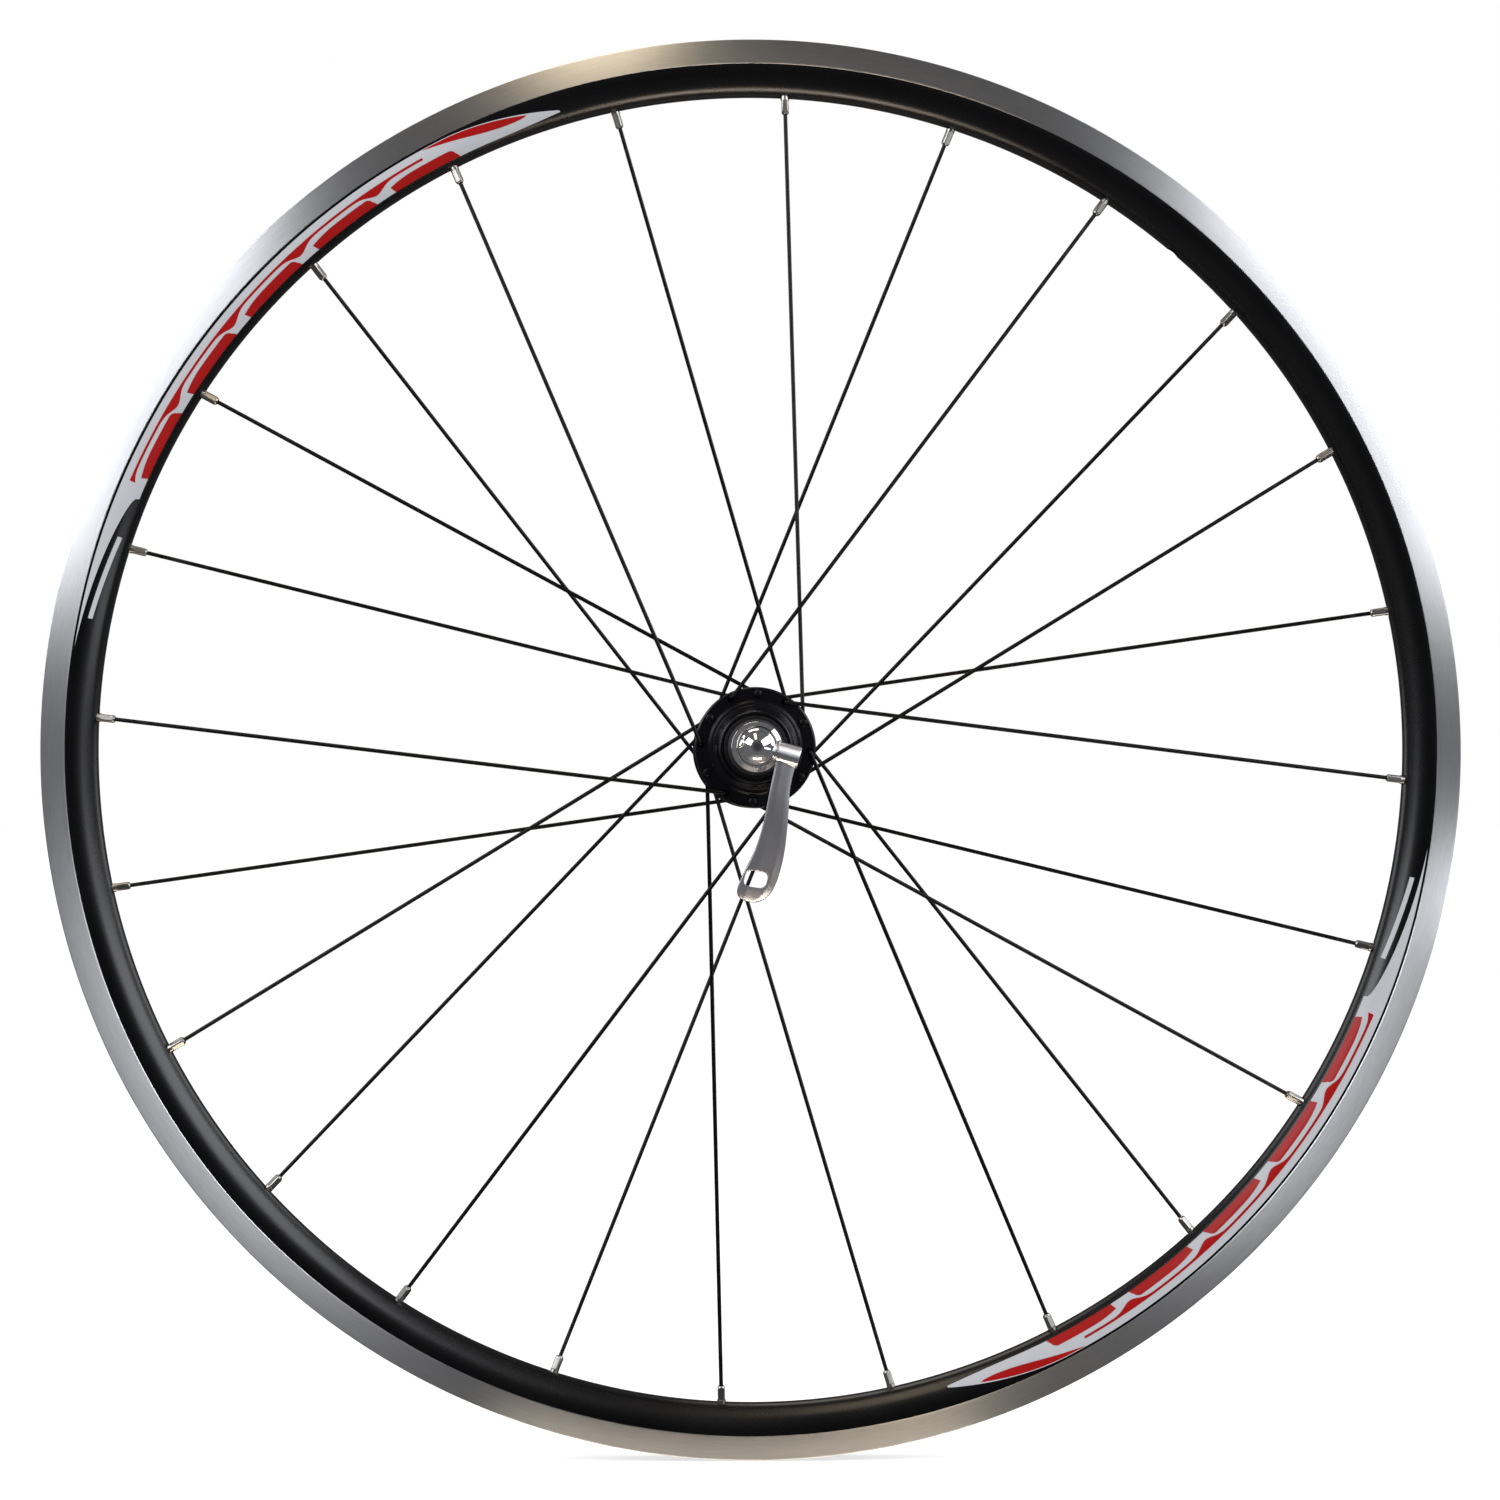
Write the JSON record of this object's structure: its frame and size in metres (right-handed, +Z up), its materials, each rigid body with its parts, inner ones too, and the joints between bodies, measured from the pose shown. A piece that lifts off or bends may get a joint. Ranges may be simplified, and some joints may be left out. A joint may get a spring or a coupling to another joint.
{
  "type": "bicycle front wheel with quick release",
  "caption": "Road bicycle front wheel with an alloy clincher rim, black steel spokes, a cup-and-cone hub and a quick-release skewer with a cam lever; no tyre.",
  "frame": {"origin": "the wheel's centre, on the axle's axis midway between the locknuts' outer faces", "axes": "+Y along the axle, from the lever's side to the nut's side; +Z up, through a point 2.75 degrees before the first spoke nipple; +X completes the frame"},
  "size_m": [0.634, 0.1474, 0.634],
  "materials": {
    "rim_black": "satin black anodised, with bare machined brake tracks",
    "hub_black": "semi-gloss black anodised",
    "spoke_black": "black stainless steel, with a silver nipple",
    "tape": "woven rim tape",
    "aluminium": "as cut",
    "steel": "ground",
    "dark_steel": "zinc plated",
    "chrome": "polished",
    "forged": "satin forged",
    "rubber": "moulded",
    "nylon": "moulded"
  },
  "bodies": {
    "axle": {"hub_axle": "dark_steel", "left_cone": "steel", "left_lock_washer": "steel", "left_locknut": "dark_steel", "left_axle_seal": "rubber", "right_cone": "steel", "right_lock_washer": "steel", "right_locknut": "dark_steel", "right_axle_seal": "rubber"},
    "wheel": {"rim": "rim_black", "rim_tape": "tape", "rim_joint_sleeve": "aluminium", "hub_shell": "hub_black", "left_bearing_cup": "steel", "left_dust_cap": "hub_black", "right_bearing_cup": "steel", "right_dust_cap": "hub_black", "spoke_with_nipple_01": "spoke_black", "spoke_with_nipple_02": "spoke_black", "spoke_with_nipple_03": "spoke_black", "spoke_with_nipple_04": "spoke_black", "spoke_with_nipple_05": "spoke_black", "spoke_with_nipple_06": "spoke_black", "spoke_with_nipple_07": "spoke_black", "spoke_with_nipple_08": "spoke_black", "spoke_with_nipple_09": "spoke_black", "spoke_with_nipple_10": "spoke_black", "spoke_with_nipple_11": "spoke_black", "spoke_with_nipple_12": "spoke_black", "spoke_with_nipple_13": "spoke_black", "spoke_with_nipple_14": "spoke_black", "spoke_with_nipple_15": "spoke_black", "spoke_with_nipple_16": "spoke_black", "spoke_with_nipple_17": "spoke_black", "spoke_with_nipple_18": "spoke_black", "spoke_with_nipple_19": "spoke_black", "spoke_with_nipple_20": "spoke_black", "spoke_with_nipple_21": "spoke_black", "spoke_with_nipple_22": "spoke_black", "spoke_with_nipple_23": "spoke_black", "spoke_with_nipple_24": "spoke_black"},
    "left_balls": {"left_ball_set": "chrome"},
    "right_balls": {"right_ball_set": "chrome"},
    "skewer": {"skewer_rod": "steel", "left_spring": "steel", "right_spring": "steel"},
    "cam_housing": {"cam_housing": "chrome", "lever_clamp_ring": "dark_steel"},
    "lever": {"cam_lever": "forged"},
    "nut_ring": {"nut_clamp_ring": "dark_steel"},
    "nut": {"adjusting_nut": "chrome", "nut_lock_insert": "nylon"}
  },
  "joints": [
    {"name": "wheel_spin", "type": "hinge", "parent": "axle", "child": "wheel", "pos_m": [0, 0, 0], "axis": [0, 1, 0], "continuous": true},
    {"name": "left_balls_orbit", "type": "hinge", "parent": "axle", "child": "left_balls", "pos_m": [0, -0.04, 0], "axis": [0, 1, 0], "continuous": true},
    {"name": "right_balls_orbit", "type": "hinge", "parent": "axle", "child": "right_balls", "pos_m": [0, 0.04, 0], "axis": [0, 1, 0], "continuous": true},
    {"name": "skewer_turn", "type": "hinge", "parent": "axle", "child": "skewer", "pos_m": [0, 0, 0], "axis": [0, 1, 0], "continuous": true},
    {"name": "clamp_slide", "type": "slide", "parent": "skewer", "child": "cam_housing", "axis": [0, -1, 0], "range_m": [0, 0.0022], "deforming": ["left_spring"]},
    {"name": "lever_swing", "type": "hinge", "parent": "cam_housing", "child": "lever", "pos_m": [0, -0.066, 0], "axis": [-0.9659, 0, 0.2588], "range_deg": [0, 180]},
    {"name": "nut_travel", "type": "slide", "parent": "skewer", "child": "nut_ring", "axis": [0, 1, 0], "range_m": [-0.0016, 0.0032], "deforming": ["right_spring"]},
    {"name": "nut_turn", "type": "hinge", "parent": "nut_ring", "child": "nut", "pos_m": [0, 0.06, 0], "axis": [0, 1, 0], "range_deg": [-720, 1440]}
  ],
  "couplings": [
    {"joint": "left_balls_orbit", "follows": "wheel_spin", "ratio": 0.5935},
    {"joint": "right_balls_orbit", "follows": "wheel_spin", "ratio": 0.5935},
    {"joint": "clamp_slide", "follows": "lever_swing", "m_per_rad": 0.00070028},
    {"joint": "nut_travel", "follows": "nut_turn", "m_per_rad": 0.00012732}
  ]
}
